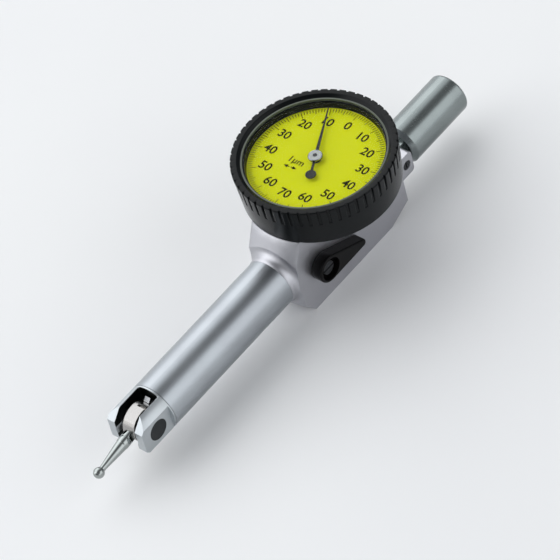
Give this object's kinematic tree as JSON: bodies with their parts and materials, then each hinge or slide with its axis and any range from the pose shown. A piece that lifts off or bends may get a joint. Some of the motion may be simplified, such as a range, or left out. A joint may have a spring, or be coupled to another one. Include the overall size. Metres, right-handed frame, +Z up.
{
  "type": "dial test indicator",
  "caption": "Lever-type dial test indicator: slim body, slotted fork with a swinging ball contact, turning bezel over a yellow dial, and a swivelling round stem.",
  "frame": {"origin": "on the flat base of the housing, straight below the centre of the dial", "axes": "+X along the barrel and the mounting stem, towards the stem; +Z up along the axis of the dial, out of its face; -Y the side with the reversing lever"},
  "size_m": [0.0994, 0.0292, 0.025],
  "materials": {
    "satin_chrome": "satin",
    "tube_chrome": "satin",
    "stem_steel": "satin",
    "black_bezel": "semi-gloss",
    "clear_crystal": "polished",
    "gasket_rubber": "matt",
    "dial_yellow": "matt",
    "polished_steel": "polished",
    "bright_steel": "satin",
    "dark_steel": "satin",
    "movement_brass": "satin",
    "black_pointer": "matt",
    "black_lever": "gloss",
    "spring_bronze": "satin"
  },
  "bodies": {
    "gauge_body": {"housing": "satin_chrome", "barrel_tube": "tube_chrome", "fork_head": "satin_chrome", "pivot_bearing_screws": "dark_steel", "main_plate": "movement_brass", "main_plate_screws": "bright_steel", "near_side_plate": "movement_brass", "far_side_plate": "movement_brass", "side_plate_screws": "bright_steel", "arbor_bushes": "spring_bronze", "centre_cock": "movement_brass", "centre_bush": "spring_bronze", "hairspring": "spring_bronze", "hairspring_stud": "movement_brass", "swivel_screw": "dark_steel", "swivel_washers": "dark_steel", "bezel_retaining_ring": "bright_steel", "lever_bush": "spring_bronze"},
    "bezel_group": {"bezel": "black_bezel", "crystal_gasket": "gasket_rubber", "crystal": "clear_crystal", "dial_plate": "dial_yellow", "dial_clip": "bright_steel"},
    "arm_group": {"transmission_arm": "bright_steel", "pivot_pin": "polished_steel", "drive_pin": "polished_steel", "friction_leaf": "bright_steel"},
    "stylus": {"stylus_hub": "polished_steel", "contact_stem": "polished_steel", "contact_ball": "polished_steel"},
    "sector_group": {"sector_gear": "movement_brass", "sector_arbor": "bright_steel"},
    "crown_group": {"crown_gear": "movement_brass", "crown_arbor": "bright_steel"},
    "pointer_group": {"pointer_arbor": "bright_steel", "hairspring_collet": "movement_brass", "pointer": "black_pointer", "pointer_hub": "polished_steel"},
    "lever_group": {"reversing_lever": "black_lever", "lever_screw": "dark_steel", "lever_shaft": "dark_steel"},
    "stem_group": {"stem": "stem_steel"}
  },
  "joints": [
    {"name": "arm_swing", "type": "hinge", "parent": "gauge_body", "child": "arm_group", "pos_m": [-0.05235, 0, 0.0078], "axis": [0, 1, 0], "range_deg": [0, 0.75], "stiffness_Nm_per_rad": 0.02, "springref_deg": -5.73},
    {"name": "stylus_tilt", "type": "hinge", "parent": "arm_group", "child": "stylus", "pos_m": [-0.05235, 0, 0.0078], "axis": [0, 1, 0], "range_deg": [-93, 107]},
    {"name": "sector_swing", "type": "hinge", "parent": "gauge_body", "child": "sector_group", "pos_m": [-0.008, 0, 0.0078], "axis": [0, 1, 0], "range_deg": [-12.8, 0]},
    {"name": "crown_spin", "type": "hinge", "parent": "gauge_body", "child": "crown_group", "pos_m": [0, 0, 0.0078], "axis": [0, 1, 0], "range_deg": [0, 115]},
    {"name": "pointer_spin", "type": "hinge", "parent": "gauge_body", "child": "pointer_group", "pos_m": [0, 0, 0.0078], "axis": [0, 0, -1], "range_deg": [0, 400]},
    {"name": "bezel_turn", "type": "hinge", "parent": "gauge_body", "child": "bezel_group", "pos_m": [0, 0, 0.0078], "axis": [0, 0, 1], "continuous": true},
    {"name": "reversing_lever_swing", "type": "hinge", "parent": "gauge_body", "child": "lever_group", "pos_m": [-0.0096, 0, 0.0082], "axis": [0, -1, 0], "range_deg": [0, 24.6]},
    {"name": "stem_swivel", "type": "hinge", "parent": "gauge_body", "child": "stem_group", "pos_m": [0.0164, 0, 0.0078], "axis": [0, 1, 0], "range_deg": [-60, 60]}
  ],
  "couplings": [
    {"joint": "sector_swing", "follows": "arm_swing", "ratio": -16.712},
    {"joint": "crown_spin", "follows": "arm_swing", "ratio": 150.41},
    {"joint": "pointer_spin", "follows": "arm_swing", "ratio": 526.44}
  ]
}
